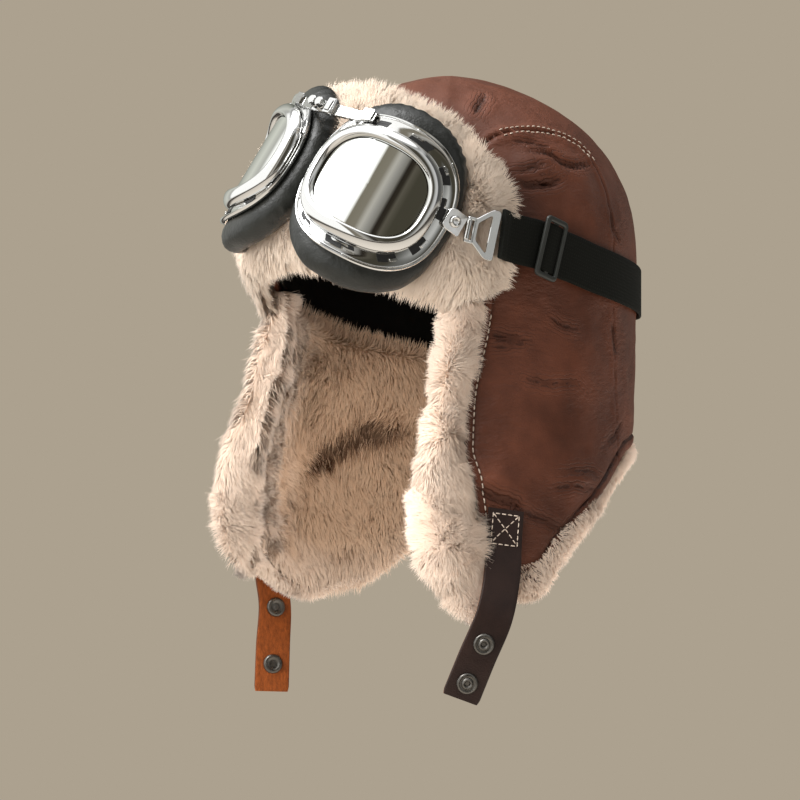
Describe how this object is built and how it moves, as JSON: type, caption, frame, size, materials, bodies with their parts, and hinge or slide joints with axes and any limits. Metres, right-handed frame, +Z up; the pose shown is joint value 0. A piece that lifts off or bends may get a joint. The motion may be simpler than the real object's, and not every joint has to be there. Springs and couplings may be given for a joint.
{
  "type": "aviator hat",
  "caption": "Leather flying hat with fur-lined ear flaps and nape, a turned-up fur brim, chin straps with press studs, and chromed goggles with an elastic band.",
  "frame": {"origin": "the inside of the top of the crown, where the crown of a head meets the hat", "axes": "+Z up along the head, -Y towards the forehead and the goggles, +X towards the wearer's left"},
  "size_m": [0.2261, 0.2606, 0.3465],
  "materials": {
    "crown_leather": "soft brown leather, satin, finely grained",
    "pile_fur": "deep cream pile, matt",
    "crown_lining": "black smooth lining, satin",
    "strap_leather": "dark brown strap leather, satin, tan on its flesh side",
    "elastic_band": "black woven elastic, matt",
    "black_plastic": "black moulded plastic, half matt",
    "goggle_cushion": "black padded leathercloth, satin",
    "chrome_plate": "polished chrome plate",
    "mirror_glass": "mirrored curved glass",
    "snap_metal": "darkened nickel, satin"
  },
  "bodies": {
    "root": {"crown_center": "crown_leather", "crown_side_left": "crown_leather", "crown_side_right": "crown_leather", "crown_lining": "crown_lining", "fur_lining": "pile_fur", "fur_brim": "pile_fur", "goggle_pad": "goggle_cushion", "goggle_strap": "elastic_band", "bridge_hinge": "chrome_plate", "strap_slider": "black_plastic", "goggle_frame_left": "chrome_plate", "goggle_bezel_left": "chrome_plate", "goggle_lens_left": "mirror_glass", "bridge_bracket_left": "chrome_plate", "side_tab_left": "chrome_plate", "side_rivet_left": "chrome_plate", "strap_loop_left": "chrome_plate", "chin_strap_left": "strap_leather", "snap_left_upper": "snap_metal", "snap_left_lower": "snap_metal", "goggle_frame_right": "chrome_plate", "goggle_bezel_right": "chrome_plate", "goggle_lens_right": "mirror_glass", "bridge_bracket_right": "chrome_plate", "side_tab_right": "chrome_plate", "side_rivet_right": "chrome_plate", "strap_loop_right": "chrome_plate", "chin_strap_right": "strap_leather", "snap_right_upper": "snap_metal", "snap_right_lower": "snap_metal"}
  },
  "joints": []
}
